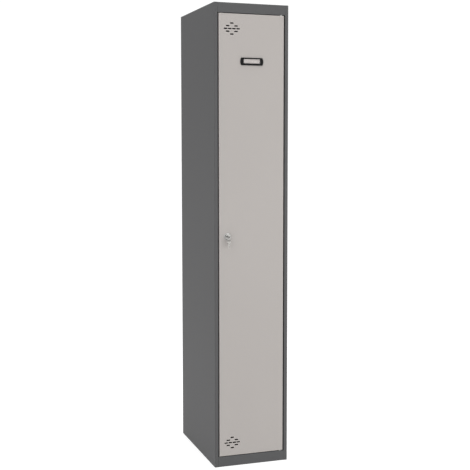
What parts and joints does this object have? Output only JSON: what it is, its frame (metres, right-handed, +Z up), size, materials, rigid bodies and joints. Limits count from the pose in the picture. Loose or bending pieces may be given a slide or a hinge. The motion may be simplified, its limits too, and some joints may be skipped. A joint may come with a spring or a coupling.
{
  "type": "locker cabinet",
  "caption": "Tall narrow sheet-metal clothes locker with one flush vented door, a key cam lock, a name-card holder, a hat shelf and a hanging rail.",
  "frame": {"origin": "centre of the footprint, on the floor", "axes": "+X to the right as seen from the front, +Y from the front to the back, +Z up; the door faces -Y"},
  "size_m": [0.3, 0.5304, 1.8],
  "materials": {
    "body_paint": "dark grey fine-textured powder coat",
    "door_paint": "light warm grey fine-textured powder coat",
    "zinc": "bright zinc plated",
    "rail_chrome": "polished chrome plated",
    "lock_chrome": "satin chrome plated die casting",
    "key_nickel": "nickel plated",
    "black_plastic": "glossy black moulding",
    "hook_plastic": "black moulding",
    "nylon": "natural nylon",
    "buffer_rubber": "black rubber",
    "window": "clear sheet",
    "card": "blank pale grey card"
  },
  "bodies": {
    "carcass": {"left_side_panel": "body_paint", "right_side_panel": "body_paint", "back_panel": "body_paint", "roof_panel": "body_paint", "base_panel": "body_paint", "shelf": "body_paint", "shelf_bracket_left": "body_paint", "shelf_bracket_right": "body_paint", "shelf_screws": "zinc", "rail_bracket_left": "body_paint", "rail_bracket_right": "body_paint", "rail_bracket_rivets": "zinc", "hanging_rail": "rail_chrome", "rail_plug_left": "black_plastic", "rail_plug_right": "black_plastic", "door_bumpers": "buffer_rubber", "hinge_anchor_bottom": "body_paint", "hinge_anchor_top": "body_paint", "hinge_pin_bottom": "zinc", "hinge_pin_top": "zinc"},
    "door": {"door_panel": "door_paint", "door_stiffener": "door_paint", "hinge_plate_bottom": "door_paint", "hinge_plate_top": "door_paint", "hinge_bush_bottom": "nylon", "hinge_bush_top": "nylon", "card_holder": "black_plastic", "card_window": "window", "lock_escutcheon": "lock_chrome", "lock_housing": "lock_chrome", "lock_nut": "zinc"},
    "lock_core": {"lock_plug": "lock_chrome", "lock_cam": "zinc", "cam_screw": "zinc"},
    "lock_key": {"key": "key_nickel"},
    "ring": {"key_ring": "key_nickel"},
    "second_key": {"spare_key": "key_nickel"},
    "card": {"name_card": "card"},
    "hook_one": {"coat_hook_1": "hook_plastic"},
    "hook_two": {"coat_hook_2": "hook_plastic"}
  },
  "joints": [
    {"name": "door_hinge", "type": "hinge", "parent": "carcass", "child": "door", "pos_m": [0.1215, -0.242, 0.9], "axis": [0, 0, 1], "range_deg": [0, 110]},
    {"name": "lock_turn", "type": "hinge", "parent": "door", "child": "lock_core", "pos_m": [-0.098, -0.254, 0.9085], "axis": [0, 1, 0], "range_deg": [0, 90]},
    {"name": "key_slide", "type": "slide", "parent": "lock_core", "child": "lock_key", "axis": [0, -1, 0], "range_m": [0, 0.025]},
    {"name": "ring_swing", "type": "hinge", "parent": "lock_key", "child": "ring", "pos_m": [-0.098, -0.27165, 0.9099], "axis": [0, 1, 0], "range_deg": [-20, 20]},
    {"name": "second_key_swing", "type": "hinge", "parent": "ring", "child": "second_key", "pos_m": [-0.098, -0.27165, 0.89468], "axis": [0, 1, 0], "range_deg": [-30, 30]},
    {"name": "card_slide", "type": "slide", "parent": "door", "child": "card", "axis": [0, 0, 1], "range_m": [0, 0.03]},
    {"name": "hook_one_slide", "type": "slide", "parent": "carcass", "child": "hook_one", "axis": [1, 0, 0], "range_m": [-0.048, 0.048]},
    {"name": "hook_two_slide", "type": "slide", "parent": "carcass", "child": "hook_two", "axis": [1, 0, 0], "range_m": [-0.048, 0.048]}
  ]
}
